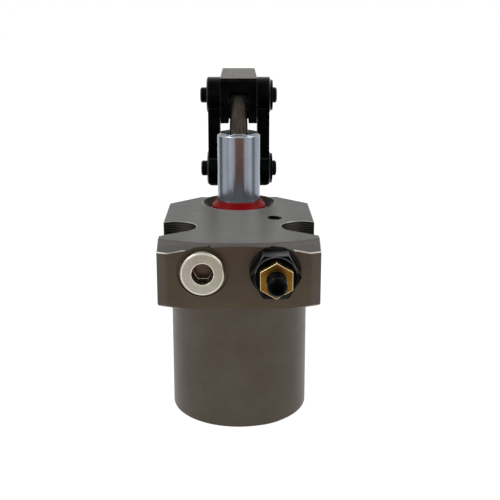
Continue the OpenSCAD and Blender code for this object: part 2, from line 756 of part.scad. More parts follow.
// E-shaped clip that snaps over a pin's groove: three inner lugs and an open mouth.
module clip(z, mouth) {
    hold_r = pin_groove_r + seat_gap;
    mouth_w = 1.86 * hold_r;
    relief_r = 0.34 * clip_d;
    relief_a = 40;
    clip_x = link_out_x + 1.5 * groove_gap;
    color([0.05, 0.05, 0.055]) plate(clip_x, clip_x + clip_t)
        translate([link_pin_y, z]) rotate(mouth) difference() {
            circle(d = clip_d);
            circle(r = hold_r);
            translate([0, -mouth_w / 2]) square([clip_d, mouth_w]);
            for (a = [100, 220]) intersection() {
                circle(r = relief_r);
                rotate(a) polygon([[0, 0], [clip_d, 0], clip_d * [cos(relief_a), sin(relief_a)]]);
            }
        }
}

module clip_upper() { clip(link_pin_z, 60); }

module clip_lower() { clip(lug_pin_z, -115); }

body();
bottom_cap();
cap_o_ring();
cap_retaining_ring();
wiper_ring();
rod_seal();
rod_guide_ring();
port_plug();
plug_seal();
valve_body();
valve_o_ring();
valve_lock_nut();
valve_adjuster();
passage_ball();
passage_plug();
face_o_rings();
piston_rod();
piston_seal();
piston_guide_ring();
lever();
lever_pin();
link_left();
link_right();
link_pin_upper();
link_pin_lower();
clip_upper();
clip_lower();
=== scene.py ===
"""Looks of the hydraulic lever cylinder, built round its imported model.

Everything is in metres and in the model's own frame."""

import math

import bpy
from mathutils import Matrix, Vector


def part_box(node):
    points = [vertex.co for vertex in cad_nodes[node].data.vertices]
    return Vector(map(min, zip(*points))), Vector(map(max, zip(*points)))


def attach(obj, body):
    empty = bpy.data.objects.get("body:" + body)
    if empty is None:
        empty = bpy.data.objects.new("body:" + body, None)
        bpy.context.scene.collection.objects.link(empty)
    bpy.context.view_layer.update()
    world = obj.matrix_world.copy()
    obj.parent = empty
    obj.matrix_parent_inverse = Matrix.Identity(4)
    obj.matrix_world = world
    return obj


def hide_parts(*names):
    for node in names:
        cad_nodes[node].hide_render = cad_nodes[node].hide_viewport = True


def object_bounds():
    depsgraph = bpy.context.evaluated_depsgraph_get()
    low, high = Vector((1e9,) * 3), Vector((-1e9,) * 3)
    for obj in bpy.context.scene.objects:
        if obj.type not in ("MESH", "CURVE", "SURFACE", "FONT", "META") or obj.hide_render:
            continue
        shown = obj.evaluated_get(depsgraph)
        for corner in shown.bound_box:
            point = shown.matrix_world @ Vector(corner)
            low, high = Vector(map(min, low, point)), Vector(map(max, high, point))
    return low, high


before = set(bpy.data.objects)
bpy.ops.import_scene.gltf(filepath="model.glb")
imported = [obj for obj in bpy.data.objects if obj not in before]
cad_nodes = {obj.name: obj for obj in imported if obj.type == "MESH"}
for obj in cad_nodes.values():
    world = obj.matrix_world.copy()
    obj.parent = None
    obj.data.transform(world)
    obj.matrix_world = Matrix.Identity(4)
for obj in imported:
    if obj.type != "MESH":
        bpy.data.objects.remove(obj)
cad_low, cad_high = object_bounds()

# Camera: the photograph's viewpoint. It is near, a little above the lever, and looks slightly down on
# the block, with the ports in front. The small shift keeps the barrel's sides nearly upright.
mm = 0.001
photo_px = 500
focal_px = 851.5
sensor_width = 36
camera_place = (0.2 * mm, -315.3 * mm, 93.5 * mm)
camera_pitch = math.radians(13.42)
camera_yaw = math.radians(-0.73)
camera_shift = -0.08
nearest_seen = 10 * mm
camera_data = bpy.data.cameras.new("camera")
camera_data.sensor_width = sensor_width
camera_data.lens = focal_px / photo_px * sensor_width
camera_data.shift_y = camera_shift
camera_data.clip_start = nearest_seen
camera = bpy.data.objects.new("camera", camera_data)
camera.location = camera_place
camera.rotation_euler = (math.radians(90) - camera_pitch, 0, camera_yaw)
bpy.context.scene.collection.objects.link(camera)
bpy.context.scene.camera = camera
bpy.context.scene.view_settings.view_transform = "Standard"

# Floor: one pale sheet of paper under the barrel's flat end. It is white to the camera and in
# reflections, and part of its brightness is real light, so that the object's soft shadow stays on it.
floor_z = cad_low.z
paper_size = 8
paper_gap = 0.05 * mm
paper_colour = (0.92, 0.92, 0.92, 1)
white = (1, 1, 1, 1)
paper_brightness = 1.35
paper_glow_share = 0.62


def add(finish, kind, **values):
    """A node of that kind, with its settings and unlinked inputs set by name."""
    node = finish.node_tree.nodes.new(kind)
    for key, value in values.items():
        if hasattr(node, key):
            setattr(node, key, value)
        else:
            node.inputs[key.replace("_", " ")].default_value = value
    return node


def join(finish, a, b):
    """A link from socket a to socket b."""
    finish.node_tree.links.new(a, b)


def work_out(finish, operation, *values):
    """One step of arithmetic on sockets and plain numbers."""
    step = add(finish, "ShaderNodeMath", operation=operation)
    for number, value in enumerate(values):
        if isinstance(value, (int, float)):
            step.inputs[number].default_value = value
        else:
            join(finish, value, step.inputs[number])
    return step.outputs[0]


def seen_or_mirrored(finish):
    """One on a ray from the camera, a mirrored one or one through glass, and nought on any other."""
    path = add(finish, "ShaderNodeLightPath").outputs
    seen = work_out(finish, "MAXIMUM", path["Is Camera Ray"], path["Is Glossy Ray"])
    return work_out(finish, "MAXIMUM", seen, path["Is Transmission Ray"])


def blank_finish(name):
    """A material that holds only its output, and the socket for its surface."""
    finish = bpy.data.materials.new(name)
    finish.use_nodes = True
    finish.node_tree.nodes.clear()
    return finish, add(finish, "ShaderNodeOutputMaterial").inputs["Surface"]


def mixed_shaders(finish, share, first, second):
    """Two shaders, mixed by a varying share of the second."""
    mix = add(finish, "ShaderNodeMixShader")
    join(finish, share, mix.inputs["Fac"])
    join(finish, first, mix.inputs[1])
    join(finish, second, mix.inputs[2])
    return mix.outputs[0]


bpy.ops.object.select_all(action="DESELECT")
bpy.ops.mesh.primitive_plane_add(size=paper_size, location=(0, 0, floor_z - paper_gap))
floor = bpy.context.object
floor.name = "floor_paper"
paper, paper_surface = blank_finish("floor_paper")
paper_diffuse = add(paper, "ShaderNodeBsdfDiffuse", Color=paper_colour)
paper_glow = add(paper, "ShaderNodeEmission", Color=white, Strength=paper_brightness)
paper_share = work_out(paper, "MULTIPLY", seen_or_mirrored(paper), paper_glow_share)
paper_seen = mixed_shaders(paper, paper_share, paper_diffuse.outputs[0], paper_glow.outputs[0])
join(paper, paper_seen, paper_surface)
floor.data.materials.append(paper)

# Room: the even white light of a plain studio. It is white to the camera and in reflections, and
# dimmer to everything that it lights.
room_as_light = 0.55
room_as_seen = 1.0


def spread(finish, value, low, high, from_low=0.3, from_high=0.7, course="LINEAR"):
    """A value from one range spread over another; the first is a noise's middle range by default."""
    ranged = add(finish, "ShaderNodeMapRange", interpolation_type=course,
                 From_Min=from_low, From_Max=from_high, To_Min=low, To_Max=high)
    join(finish, value, ranged.inputs["Value"])
    return ranged.outputs["Result"]


room = bpy.data.worlds.new("white_room")
bpy.context.scene.world = room
room.use_nodes = True
room_light = room.node_tree.nodes["Background"]
room_light.inputs["Color"].default_value = white
room_level = spread(room, seen_or_mirrored(room), room_as_light, room_as_seen, 0, 1)
join(room, room_level, room_light.inputs["Strength"])


# Soft boxes: two above the object, one at each side, as over a product table. Both are aimed at the
# object, and the left one is the stronger.
def soft_box(name, place, size, watts):
    """A rectangular lamp at that place, aimed at the object."""
    lamp_data = bpy.data.lights.new(name, "AREA")
    lamp_data.shape = "RECTANGLE"
    lamp_data.size, lamp_data.size_y = size
    lamp_data.energy = watts
    lamp = bpy.data.objects.new(name, lamp_data)
    lamp.location = place
    lamp.rotation_euler = (-Vector(place)).to_track_quat("-Z", "Y").to_euler()
    bpy.context.scene.collection.objects.link(lamp)


soft_box("left_soft_box", place=(-0.55, -0.25, 0.6), size=(0.5, 0.5), watts=2.6)
soft_box("right_soft_box", place=(0.6, -0.1, 0.5), size=(0.4, 0.6), watts=1.6)

# Banded card: a ring of card on the floor round the object, out of the picture, which only
# reflections show. Its bands glow by themselves and are painted reflections: they give the polished rod
# a brown stripe down its middle and darker lines towards its sides, two glow white as painted
# highlights, and it is clear between them.
card_near = 0.32
card_far = 1.8
card_sides = 96
card_lift = 0.5 * mm
# Each band has the direction of its middle, in degrees to the right of the ports' side, its half
# width, how wide its soft border is, how dense it is and its colour.
card_bands = (
    (4, 25, 11, 1.0, (0.4, 0.17, 0.085)),
    (-112, 14, 10, 0.85, (0.12, 0.13, 0.15)),
    (86, 11, 8, 0.7, (0.15, 0.16, 0.18)),
    (-62, 3.5, 4, 0.5, (0.3, 0.32, 0.36)),
    (-46, 5, 6, 0.8, (1.5, 1.5, 1.5)),
    (62, 7, 9, 0.8, (1.5, 1.5, 1.5)),
)


def place_on_object(finish):
    """The place on the object, in metres."""
    return add(finish, "ShaderNodeTexCoord").outputs["Object"]


def coordinates_of(finish, place):
    """The three coordinates of a place, each by itself."""
    axes = add(finish, "ShaderNodeSeparateXYZ")
    join(finish, place, axes.inputs[0])
    return axes.outputs


bpy.ops.object.select_all(action="DESELECT")
bpy.ops.mesh.primitive_circle_add(vertices=card_sides, radius=card_far,
                                  location=(0, 0, floor_z + card_lift))
card = bpy.context.object
card.name = "painted_reflection_card"
bpy.ops.object.mode_set(mode="EDIT")
bpy.ops.mesh.select_all(action="SELECT")
bpy.ops.mesh.extrude_region_move(TRANSFORM_OT_translate={"value": (0, 0, 0)})
bpy.ops.transform.resize(value=(card_near / card_far, card_near / card_far, 1))
bpy.ops.object.mode_set(mode="OBJECT")
bpy.ops.object.transform_apply(location=True, rotation=True, scale=True)
card.visible_camera = False
card.visible_diffuse = False
card.visible_transmission = False
card.visible_shadow = False
card_finish, card_surface = blank_finish("painted_reflection_card")
card_place = coordinates_of(card_finish, place_on_object(card_finish))
card_ahead = work_out(card_finish, "MULTIPLY", card_place["Y"], -1)
card_turn = work_out(card_finish, "ARCTAN2", card_place["X"], card_ahead)
card_seen = add(card_finish, "ShaderNodeBsdfTransparent").outputs[0]
for direction, half_width, border, density, colour in card_bands:
    from_middle = work_out(card_finish, "SUBTRACT", card_turn, math.radians(direction))
    border_from = math.radians(half_width - border / 2)
    border_to = math.radians(half_width + border / 2)
    band_share = spread(card_finish, work_out(card_finish, "ABSOLUTE", from_middle), density, 0,
                        border_from, border_to, "SMOOTHSTEP")
    band_glow = add(card_finish, "ShaderNodeEmission", Color=(*colour, 1))
    card_seen = mixed_shaders(card_finish, band_share, card_seen, band_glow.outputs[0])
join(card_finish, card_seen, card_surface)
card.data.materials.append(card_finish)

# Body: one piece of steel with the flange block, the barrel and the lug. The block's top is ground,
# its sides are milled, the barrel and the bevels are turned, and the bolt slots' walls are ribbed by
# their cutter; all of it has a thin brown-grey tint.
edge_angle = math.radians(28)
weld_within = 0.001 * mm
flat_within = math.radians(0.3)
large_face_weight = 90
face_finish, edge_finish, third_finish = range(3)
# The Mix node's sockets for colours, and how far apart a Wave node's bands lie at a scale of one.
colour_a, colour_b, colour_out = 6, 7, 2
band_spacing = math.tau / 20
rib_pitch = 0.8 * mm
flange_top = 21.5 * mm
top_within = 0.05 * mm
bore_reach = 17.5 * mm
bore_top = flange_top - 3 * mm
slot_x = 21.6 * mm
slot_places = ((-37.2 * mm, math.radians(-35)), (24.8 * mm, math.radians(35)))
slot_reach = 4.7 * mm
seat_reach = 7.4 * mm
seat_z = 12.5 * mm
seat_within = 1 * mm
oil_hole = Vector((12.3 * mm, -25 * mm))
oil_hole_rim = 4.5 * mm
oil_hole_inside = 4 * mm
port_x = 11.4 * mm
port_z = 12.6 * mm
port_face_y = -58.4 * mm
port_face_r = 9 * mm
spot_face_depth = 0.7 * mm
bevel_start = (57.8 * mm, 58.9 * mm)
bevel_foot_z = 10 * mm
bevel_slope = 0.3
decks_above = 12 * mm
# Broken edges above this height are pale, with wear and painted highlights.
painted_highlight_above = 16 * mm
front_middle_x = 17 * mm
front_middle_y = -54 * mm
turned_front_r = 61 * mm
squarely = 0.98
upright_below = 0.5
towards_middle = 0.6


def select_only(piece):
    """Selects the piece and nothing else, and makes it the active one."""
    bpy.ops.object.select_all(action="DESELECT")
    piece.select_set(True)
    bpy.context.view_layer.objects.active = piece


def break_edges(piece, width, left_sharp):
    """Breaks the piece's sharp edges to that width, in its second finish.

    left_sharp tells by the middle of an edge whether it is left as it is."""
    mesh = piece.data
    normals_at = {}
    for face in mesh.polygons:
        for key in face.edge_keys:
            normals_at.setdefault(key, []).append(face.normal)
    weight = mesh.attributes.new("bevel_weight_edge", "FLOAT", "EDGE")
    for line in mesh.edges:
        start, end = (mesh.vertices[number].co for number in line.vertices)
        normals = normals_at.get(tuple(sorted(line.vertices)), [])
        sharp = len(normals) == 2 and normals[0].angle(normals[1], 0) > edge_angle
        kept = left_sharp is not None and left_sharp((start + end) / 2)
        weight.data[line.index].value = float(sharp and not kept)
    breaking = piece.modifiers.new("broken_edges", "BEVEL")
    breaking.limit_method = "WEIGHT"
    breaking.width = width
    breaking.segments = 2
    breaking.use_clamp_overlap = False
    breaking.material = edge_finish
    bpy.ops.object.modifier_apply(modifier=breaking.name)


def finished_copy(node, name, edge, body, finishes, left_sharp=None, moved=None):
    """A copy of a CAD node, in its place, with its edges broken by the width edge.

    The first finish is for its faces and the second for the broken edges. left_sharp says which
    edges are left as they are, and moved gives a point a new place."""
    piece = bpy.data.objects.new(name, cad_nodes[node].data.copy())
    bpy.context.scene.collection.objects.link(piece)
    piece.data.materials.clear()
    for finish in finishes:
        piece.data.materials.append(finish)
    select_only(piece)
    bpy.ops.object.mode_set(mode="EDIT")
    bpy.ops.mesh.select_all(action="SELECT")
    bpy.ops.mesh.remove_doubles(threshold=weld_within)
    if moved:
        bpy.ops.object.mode_set(mode="OBJECT")
        for point in piece.data.vertices:
            point.co = moved(point.co)
        bpy.ops.object.mode_set(mode="EDIT")
        bpy.ops.mesh.select_all(action="SELECT")
    bpy.ops.mesh.dissolve_limited(angle_limit=flat_within)
    bpy.ops.object.mode_set(mode="OBJECT")
    break_edges(piece, edge, left_sharp)
    bpy.ops.object.shade_smooth_by_angle(angle=edge_angle)
    flats = piece.modifiers.new("flat_faces", "WEIGHTED_NORMAL")
    flats.keep_sharp = True
    flats.weight = large_face_weight
    bpy.ops.object.modifier_apply(modifier=flats.name)
    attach(piece, body)
    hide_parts(node)
    return piece


def new_finish(name, metallic, roughness):
    """A material with its shader and a place on the object in metres, ready for its pattern."""
    finish = bpy.data.materials.new(name)
    finish.use_nodes = True
    shader = finish.node_tree.nodes["Principled BSDF"]
    shader.inputs["Metallic"].default_value = metallic
    shader.inputs["Roughness"].default_value = roughness
    return finish, shader, place_on_object(finish)


def stretched_noise(finish, place, per_metre, detail=3.0):
    """Noise with its own number of spots to the metre along each direction."""
    scaled = add(finish, "ShaderNodeMapping", vector_type="POINT", Scale=per_metre)
    noise = add(finish, "ShaderNodeTexNoise", Scale=1.0, Detail=detail, Roughness=0.6)
    join(finish, place, scaled.inputs["Vector"])
    join(finish, scaled.outputs["Vector"], noise.inputs["Vector"])
    return noise.outputs["Fac"]


def two_colours(finish, share, first, second):
    """Two colours, each plain or from a socket, mixed by a varying share of the second."""
    mix = add(finish, "ShaderNodeMix", data_type="RGBA")
    join(finish, share, mix.inputs[0])
    for number, colour in ((colour_a, first), (colour_b, second)):
        if isinstance(colour, tuple):
            mix.inputs[number].default_value = (*colour, 1)
        else:
            join(finish, colour, mix.inputs[number])
    return mix.outputs[colour_out]


def tint(finish, shader, pattern, dark, pale):
    """Lets the colour follow a pattern from dark to pale."""
    colour = two_colours(finish, spread(finish, pattern, 0, 1), dark, pale)
    join(finish, colour, shader.inputs["Base Color"])


def vary_roughness(finish, shader, pattern, smoothest, roughest):
    """Lets the roughness follow a pattern between two values."""
    join(finish, spread(finish, pattern, smoothest, roughest), shader.inputs["Roughness"])


def scratch(finish, shader, height, depth):
    """Gives the surface fine relief of that depth in metres."""
    relief = add(finish, "ShaderNodeBump", Strength=1.0, Distance=depth)
    join(finish, height, relief.inputs["Height"])
    join(finish, relief.outputs["Normal"], shader.inputs["Normal"])


def machined_steel(name, dark, pale, roughness, lines, line_depth, metallic=1.0, gloss=0.5, painted_sheen=None):
    """Bare or tinted steel with tool lines; lines gives how many lie in a metre along each direction.

    The last argument darkens it towards both sides, so that the middle keeps a painted sheen: down to
    which share of dark, and how far from the middle that starts and ends."""
    finish, shader, place = new_finish(name, metallic, roughness)
    shader.inputs["Specular IOR Level"].default_value = gloss
    cloud = stretched_noise(finish, place, per_metre=(90, 90, 90), detail=4.0)
    tool = stretched_noise(finish, place, per_metre=lines, detail=2.0)
    colour = two_colours(finish, spread(finish, cloud, 0, 1), dark, pale)
    # Painted sheen: the colour darkens towards both sides in X, so the middle stays lighter.
    if painted_sheen:
        kept_share, sheen_full_to, full_from = painted_sheen
        aside = work_out(finish, "ABSOLUTE", coordinates_of(finish, place)["X"])
        painted_sheen_share = spread(finish, aside, 0, 1, sheen_full_to, full_from)
        colour = two_colours(finish, painted_sheen_share, colour, tuple(kept_share * part for part in dark))
    join(finish, colour, shader.inputs["Base Color"])
    vary_roughness(finish, shader, tool, smoothest=roughness - 0.06, roughest=roughness + 0.08)
    scratch(finish, shader, tool, depth=line_depth)
    return finish


def ribbed_steel(name, dark, pale, roughness, pitch, rib_depth, metallic):
    """Steel with level ribs of that pitch, as a cutter leaves them that is fed down a wall."""
    finish, shader, place = new_finish(name, metallic, roughness)
    ribs = add(finish, "ShaderNodeTexWave", wave_type="BANDS", bands_direction="Z",
               Scale=band_spacing / pitch, Distortion=0.4, Detail=1.0)
    join(finish, place, ribs.inputs["Vector"])
    crests = spread(finish, ribs.outputs["Fac"], 0, 1, from_low=0.35, from_high=0.95)
    join(finish, two_colours(finish, crests, dark, pale), shader.inputs["Base Color"])
    scratch(finish, shader, ribs.outputs["Fac"], depth=rib_depth)
    return finish


def from_port(place):
    """How far a place is from the axis of the nearer port."""
    return math.hypot(abs(place.x) - port_x, place.z - port_z)


def left_as_cut(place):
    """Edges in the bore, at the oil hole, round the ports' spot faces and along the top bevel's start."""
    from_rod = math.hypot(place.x, place.y)
    in_bore = from_rod < bore_reach and place.z < bore_top
    at_oil_hole = (place.xy - oil_hole).length < oil_hole_rim
    at_port = place.y < port_face_y and from_port(place) < port_face_r
    on_top = place.z > flange_top - top_within
    at_bevel = on_top and bevel_start[0] < from_rod < bevel_start[1]
    return in_bore or at_oil_hole or at_port or at_bevel


def wall_of_slot(face):
    """True on a wall or a seat of the bolt slots, whose walls look inwards to the slot's middle line."""
    place = face.center
    at_front = place.y < 0
    reach = seat_reach if at_front and place.z > seat_z else slot_reach
    for slot_y, slant in slot_places:
        outwards = Vector((math.copysign(math.cos(slant), place.x), math.sin(slant)))
        from_slot = Vector((place.x - math.copysign(slot_x, place.x), place.y - slot_y))
        from_line = from_slot - max(0, from_slot.dot(outwards)) * outwards
        if place.z > 0 and from_line.length < reach:
            seat = face.normal.z > squarely and at_front and place.z < seat_z + seat_within
            if seat or face.normal.xy.dot(from_line) < -towards_middle * from_line.length:
                return True
    return False


def finish_of_body(face):
    """The number of the finish of one face."""
    place = face.center
    from_rod = math.hypot(place.x, place.y)
    # Broken edges high on the block are pale, partly wear and partly painted highlight; those low down
    # stay dark, and those in the middle of the front take the bevel's finish.
    if face.material_index == edge_finish:
        if place.z < painted_highlight_above:
            return turned
        middle_of_front = place.y < front_middle_y and abs(place.x) < front_middle_x
        return painted_light_bevel if middle_of_front else worn_and_highlit
    in_slot = wall_of_slot(face)
    near_oil_hole = (place.xy - oil_hole).length < oil_hole_inside
    in_oil_hole = near_oil_hole and decks_above < place.z < flange_top - top_within
    behind_front = face.normal.y < -squarely and place.y > port_face_y - spot_face_depth
    in_valve_port = behind_front and place.x > 0 and from_port(place) < port_face_r
    # Slot walls, slot seats, the oil hole and the valve port's floor are painted dark as shade in those
    # hollows.
    if in_slot and abs(face.normal.z) < upright_below:
        return ribbed_painted_shade
    if in_slot or in_oil_hole or in_valve_port:
        return painted_shade_hollow
    if face.normal.z > squarely and place.z > decks_above:
        return ground
    # Up-facing bevels are painted paler than the turned sides: painted light where they face up.
    if bevel_slope < face.normal.z < squarely and place.z > bevel_foot_z:
        return painted_light_bevel
    on_turned_front = abs(face.normal.z) < squarely and from_rod > turned_front_r
    if place.z < 0 or on_turned_front:
        return turned
    return milled


milled, worn_and_highlit, turned, ground, painted_light_bevel, painted_shade_hollow, ribbed_painted_shade = range(7)
body_finishes = (
    machined_steel("milled_steel_tinted", dark=(0.066, 0.05, 0.035), pale=(0.08, 0.062, 0.044),
                   roughness=0.4, lines=(900, 900, 4000), line_depth=0.002 * mm, metallic=0.8),
    # Pale broken edges: wear and painted highlights.
    machined_steel("steel_edges_worn_and_highlit", dark=(0.2, 0.19, 0.17), pale=(0.62, 0.6, 0.55),
                   roughness=0.3, lines=(500, 500, 500), line_depth=0.001 * mm),
    machined_steel("turned_steel_tinted", dark=(0.068, 0.054, 0.042), pale=(0.082, 0.068, 0.055),
                   roughness=0.42, lines=(40, 40, 5000), line_depth=0.002 * mm, metallic=0.8),
    # The ground top is painted lighter along its middle, as a painted reflection of the rod, and darker
    # towards both sides.
    machined_steel("ground_steel_top", dark=(0.156, 0.152, 0.142), pale=(0.186, 0.182, 0.17),
                   roughness=0.34, lines=(60, 5200, 60), line_depth=0.0012 * mm, metallic=0.12, gloss=0.1,
                   painted_sheen=(0.42, 5 * mm, 19 * mm)),
    # The bevel's paler tone is painted light on turned steel that faces up.
    machined_steel("turned_steel_bevel_painted_light", dark=(0.082, 0.078, 0.071), pale=(0.112, 0.107, 0.098),
                   roughness=0.34, lines=(900, 900, 900), line_depth=0.001 * mm, metallic=0.3, gloss=0.15),
    # Painted shade: the slots, the oil hole and the valve port's floor are near black; the slot walls also
    # keep their ribs.
    machined_steel("milled_steel_painted_shade", dark=(0.012, 0.011, 0.008), pale=(0.024, 0.022, 0.018),
                   roughness=0.45, lines=(300, 300, 1100), line_depth=0.03 * mm, metallic=0.7),
    ribbed_steel("ribbed_slot_walls_painted_shade", dark=(0.01, 0.009, 0.007), pale=(0.046, 0.043, 0.037),
                 roughness=0.42, pitch=rib_pitch, rib_depth=0.06 * mm, metallic=0.7),
)
body_piece = finished_copy("body", "machined_body", edge=0.25 * mm, body="housing",
                           finishes=body_finishes, left_sharp=left_as_cut)
for face in body_piece.data.polygons:
    face.material_index = finish_of_body(face)


# Bottom cap with its spring ring, and the plug and ball of the drilled passages: turned steel, and a
# blackened ring. They close the barrel and the passages, and hardly show while the cylinder stands on
# its end.
cap_steel = machined_steel("turned_cap_steel", dark=(0.16, 0.15, 0.14), pale=(0.22, 0.21, 0.2),
                           roughness=0.4, lines=(60, 60, 4000), line_depth=0.002 * mm)
spring_black = machined_steel("blackened_spring_steel", dark=(0.02, 0.02, 0.022),
                              pale=(0.045, 0.045, 0.048), roughness=0.42, lines=(700, 700, 700),
                              line_depth=0.002 * mm)


def dress(node, finish):
    """Gives a CAD node that stays as it is its finish."""
    cad_nodes[node].data.materials.clear()
    cad_nodes[node].data.materials.append(finish)


for node in ("bottom_cap", "passage_plug", "passage_ball"):
    dress(node, cap_steel)
dress("cap_retaining_ring", spring_black)


# Rings of rubber and plastic: O-rings, the seals of the rod and the piston, and their guide rings. All
# are moulded or turned, matt, and mostly hidden in their grooves.
def soft_ring(name, dark, pale, roughness):
    """Rubber or plastic with a fine moulded grain."""
    finish, shader, place = new_finish(name, metallic=0.0, roughness=roughness)
    grain = stretched_noise(finish, place, per_metre=(1500, 1500, 1500))
    tint(finish, shader, grain, dark, pale)
    scratch(finish, shader, grain, depth=0.003 * mm)
    return finish


black_rubber = soft_ring("black_rubber", dark=(0.012, 0.012, 0.012), pale=(0.024, 0.024, 0.024),
                         roughness=0.6)
green_seal = soft_ring("green_seal_plastic", dark=(0.02, 0.05, 0.03), pale=(0.035, 0.075, 0.045),
                       roughness=0.45)
brown_guide = soft_ring("brown_guide_plastic", dark=(0.16, 0.085, 0.035), pale=(0.22, 0.12, 0.05),
                        roughness=0.5)
for node in ("cap_o_ring", "valve_o_ring", "face_o_rings"):
    dress(node, black_rubber)
for node in ("rod_seal", "piston_seal"):
    dress(node, green_seal)
for node in ("rod_guide_ring", "piston_guide_ring"):
    dress(node, brown_guide)


# Wiper: a glossy red ring of moulded polyurethane, snapped into the recess round the rod. Its lip
# strips the rod, and a film of oil stays on it.
red_wiper, red_shader, red_place = new_finish("red_wiper", metallic=0.0, roughness=0.22)
red_cloud = stretched_noise(red_wiper, red_place, per_metre=(300, 300, 300))
tint(red_wiper, red_shader, red_cloud, dark=(0.16, 0.0002, 0.0008), pale=(0.26, 0.0006, 0.002))
vary_roughness(red_wiper, red_shader, red_cloud, smoothest=0.24, roughest=0.38)
red_shader.inputs["Specular IOR Level"].default_value = 0.06
finished_copy("wiper_ring", "red_wiper_ring", edge=0.12 * mm, body="housing",
              finishes=[red_wiper])


# Port plug: a zinc-plated steel plug with a turned face and a hexagon socket. It is screwed into the
# left port over a washer of soft metal.
def faced_metal(name, dark, pale, roughness, ring_width, ring_depth, centre):
    """Metal that was faced on a lathe: fine rings round centre, about an axis along Y."""
    finish, shader, place = new_finish(name, metallic=1.0, roughness=roughness)
    moved = add(finish, "ShaderNodeMapping", vector_type="TEXTURE", Location=centre)
    flat = add(finish, "ShaderNodeVectorMath", operation="MULTIPLY")
    flat.inputs[1].default_value = (1, 0, 1)
    radius = add(finish, "ShaderNodeVectorMath", operation="LENGTH")
    rings = add(finish, "ShaderNodeTexNoise", noise_dimensions="1D", Scale=1 / ring_width, Detail=2.0)
    cloud = stretched_noise(finish, place, per_metre=(260, 260, 260), detail=4.0)
    join(finish, place, moved.inputs["Vector"])
    join(finish, moved.outputs["Vector"], flat.inputs[0])
    join(finish, flat.outputs["Vector"], radius.inputs[0])
    join(finish, radius.outputs["Value"], rings.inputs["W"])
    tint(finish, shader, cloud, dark, pale)
    vary_roughness(finish, shader, rings.outputs["Fac"], smoothest=roughness - 0.05,
                   roughest=roughness + 0.08)
    scratch(finish, shader, rings.outputs["Fac"], depth=ring_depth)
    return finish


def middle_of(node):
    """The middle of a CAD node's box."""
    low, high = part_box(node)
    return (low + high) / 2


key_socket_r = 3.6 * mm
socket_lip = 0.2 * mm
plug_middle = middle_of("port_plug")
plug_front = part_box("port_plug")[0].y
plug_finishes = (
    faced_metal("zinc_plated_steel", dark=(0.36, 0.35, 0.29), pale=(0.44, 0.43, 0.37),
                roughness=0.3, ring_width=0.25 * mm, ring_depth=0.006 * mm, centre=plug_middle),
    # Pale broken edges: wear and painted highlights.
    machined_steel("zinc_edges_worn_and_highlit", dark=(0.6, 0.58, 0.5), pale=(0.72, 0.7, 0.62),
                   roughness=0.22, lines=(500, 500, 500), line_depth=0.001 * mm),
    # The key socket's inside is painted dark, as painted shade in the hollow.
    machined_steel("zinc_key_socket_painted_shade", dark=(0.03, 0.02, 0.013), pale=(0.085, 0.062, 0.045),
                   roughness=0.3, lines=(400, 400, 400), line_depth=0.002 * mm),
)
washer_metal = machined_steel("soft_metal_washer", dark=(0.2, 0.12, 0.06), pale=(0.3, 0.19, 0.1),
                              roughness=0.42, lines=(400, 400, 400), line_depth=0.002 * mm)
plug_piece = finished_copy("port_plug", "turned_port_plug", edge=0.15 * mm, body="housing",
                           finishes=plug_finishes)
# Faces inside the key socket take the painted shade.
for face in plug_piece.data.polygons:
    from_axis = math.hypot(face.center.x - plug_middle.x, face.center.z - plug_middle.z)
    in_socket = from_axis < key_socket_r and face.center.y > plug_front + socket_lip
    if in_socket and face.material_index == face_finish:
        face.material_index = third_finish
dress("plug_seal", washer_metal)


# Flow valve: a hexagon body of steel in oiled black oxide, screwed into the right port, with a thin
# lock nut in yellow chromate. The hexagon's upper broken edges are painted pale, as painted highlights.
def black_oxide(name, dark, pale, roughness):
    """Steel in black oxide, with fine pores."""
    finish, shader, place = new_finish(name, metallic=1.0, roughness=roughness)
    cloud = stretched_noise(finish, place, per_metre=(220, 220, 220), detail=4.0)
    pores = stretched_noise(finish, place, per_metre=(2500, 2500, 2500), detail=1.0)
    tint(finish, shader, cloud, dark, pale)
    vary_roughness(finish, shader, cloud, smoothest=roughness - 0.07, roughest=roughness + 0.07)
    scratch(finish, shader, pores, depth=0.0015 * mm)
    return finish


valve_highlight_above = port_z + 1.5 * mm
oiled_black = black_oxide("oiled_black_oxide", dark=(0.0015, 0.0018, 0.002), pale=(0.004, 0.0045, 0.005),
                          roughness=0.3)
# Paler broken edges on the black oxide: rubbing and painted highlights.
black_edge_worn_and_highlit = black_oxide("black_edges_rubbed_and_highlit", dark=(0.008, 0.0085, 0.009), pale=(0.03, 0.031, 0.033),
                         roughness=0.3)
valve_edge_highlight = black_oxide("valve_upper_edges_painted_highlight", dark=(0.03, 0.031, 0.034), pale=(0.13, 0.134, 0.14),
                            roughness=0.28)
valve_piece = finished_copy("valve_body", "black_valve_body", edge=0.15 * mm, body="housing",
                            finishes=(oiled_black, valve_edge_highlight, black_edge_worn_and_highlit))
# Only the hexagon's upper broken edges keep the painted highlight; the lower ones take the darker edge
# finish.
for face in valve_piece.data.polygons:
    if face.material_index == edge_finish and face.center.z < valve_highlight_above:
        face.material_index = third_finish

nut_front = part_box("valve_lock_nut")[0].y
nut_bevel = 0.6 * mm
nut_finishes = (
    faced_metal("yellow_chromate", dark=(0.19, 0.075, 0.013), pale=(0.21, 0.145, 0.03), roughness=0.3,
                ring_width=0.3 * mm, ring_depth=0.005 * mm, centre=middle_of("valve_lock_nut")),
    # Pale broken edges: wear and painted highlights round the nut.
    machined_steel("yellow_edges_worn_and_highlit", dark=(0.66, 0.5, 0.24), pale=(0.8, 0.66, 0.38),
                   roughness=0.24, lines=(500, 500, 500), line_depth=0.001 * mm),
)


def full_front(point):
    """The nut's front is flat right up to its corners."""
    flat_y = nut_front if point.y < nut_front + nut_bevel else point.y
    return Vector((point.x, flat_y, point.z))


